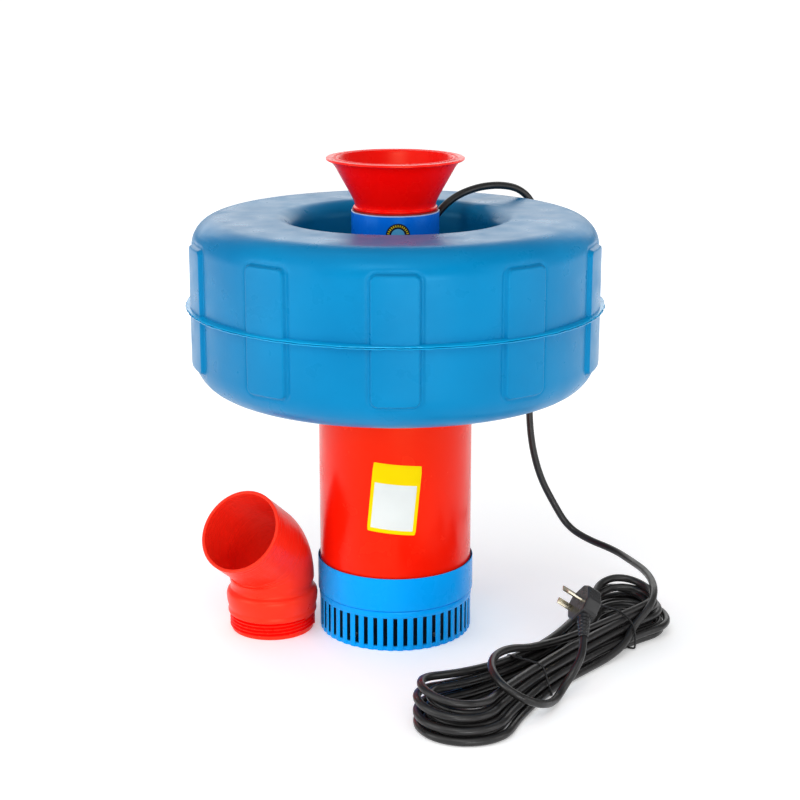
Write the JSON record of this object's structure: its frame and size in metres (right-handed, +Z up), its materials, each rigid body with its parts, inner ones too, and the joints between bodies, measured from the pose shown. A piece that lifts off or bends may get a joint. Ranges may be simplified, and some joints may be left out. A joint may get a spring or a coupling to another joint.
{
  "type": "pond aerator",
  "caption": "Floating pond aerator: a submersible pump with a slotted strainer hangs in a ring float and lifts water through a flared outlet; an elbow and the mains cable lie beside it.",
  "frame": {"origin": "pump axis at floor level, under the strainer", "axes": "+Z up along the pump axis, -Y to the front, where the camera stands"},
  "size_m": [0.5046, 0.5147, 0.502],
  "materials": {
    "blue_plastic": "satin moulded plastic",
    "red_plastic": "gloss moulded plastic",
    "red_enamel": "gloss enamel",
    "float_blue": "satin blow-moulded polyethylene",
    "float_foam": "closed-cell foam",
    "cast_iron": "painted casting",
    "black_plastic": "moulded plastic",
    "cast_aluminium": "as cast",
    "steel": "bright steel",
    "can_steel": "rolled stainless steel",
    "lamination": "stacked sheet",
    "copper": "enamelled wire",
    "capacitor_can": "plain can",
    "seal_face": "lapped carbon and ceramic",
    "rubber": "matt rubber",
    "tie_black": "thin twist tie",
    "brass": "bright pins"
  },
  "bodies": {
    "pump_body": {"strainer": "blue_plastic", "outlet_sleeve": "blue_plastic", "barrel": "red_enamel", "float_ring": "float_blue", "float_foam": "float_foam", "suction_plate": "cast_iron", "discharge_head": "cast_iron", "diffuser": "black_plastic", "gland_body": "black_plastic", "gland_nut": "black_plastic", "plug_body": "black_plastic", "lower_cover": "cast_aluminium", "upper_bracket": "cast_aluminium", "upper_cover": "cast_aluminium", "strainer_screws": "steel", "diffuser_screws": "steel", "tie_bolts": "steel", "cover_screws": "steel", "bearing_outer_lower": "steel", "bearing_outer_upper": "steel", "float_screws": "steel", "capacitor_strap": "steel", "motor_can": "can_steel", "stator_core": "lamination", "winding_lower": "copper", "winding_upper": "copper", "capacitor": "capacitor_can", "seal_seat": "seal_face", "head_gasket": "rubber", "horn_seal": "rubber", "inner_lead": "rubber", "supply_cord": "rubber", "cord_hank": "rubber", "cord_tail": "rubber", "plug_relief": "rubber", "hank_tie_near": "tie_black", "hank_tie_far": "tie_black", "plug_pins": "brass"},
    "rotor": {"shaft": "steel", "rotor_core": "lamination", "rotor_end_rings": "cast_aluminium", "impeller": "black_plastic", "impeller_key": "steel", "impeller_nut": "steel", "seal_rotor": "seal_face", "seal_bellows": "rubber", "bearing_inner_lower": "steel", "bearing_inner_upper": "steel"},
    "cage_lower": {"ball_cage_lower": "steel"},
    "cage_upper": {"ball_cage_upper": "steel"},
    "horn_body": {"horn": "red_plastic"},
    "elbow_body": {"elbow": "red_plastic"}
  },
  "joints": [
    {"name": "rotor_spin", "type": "hinge", "parent": "pump_body", "child": "rotor", "pos_m": [0, 0, 0.15], "axis": [0, 0, 1], "continuous": true},
    {"name": "cage_lower_spin", "type": "hinge", "parent": "pump_body", "child": "cage_lower", "pos_m": [0, 0, 0.15], "axis": [0, 0, 1], "continuous": true},
    {"name": "cage_upper_spin", "type": "hinge", "parent": "pump_body", "child": "cage_upper", "pos_m": [0, 0, 0.15], "axis": [0, 0, 1], "continuous": true},
    {"name": "horn_lift", "type": "slide", "parent": "pump_body", "child": "horn_body", "axis": [0, 0, 1], "range_m": [0, 0.06]},
    {"name": "elbow_lift", "type": "slide", "parent": "pump_body", "child": "elbow_body", "axis": [0, 0, 1], "range_m": [0, 0.1]}
  ],
  "couplings": [
    {"joint": "cage_lower_spin", "follows": "rotor_spin", "ratio": 0.3836},
    {"joint": "cage_upper_spin", "follows": "rotor_spin", "ratio": 0.3836}
  ]
}
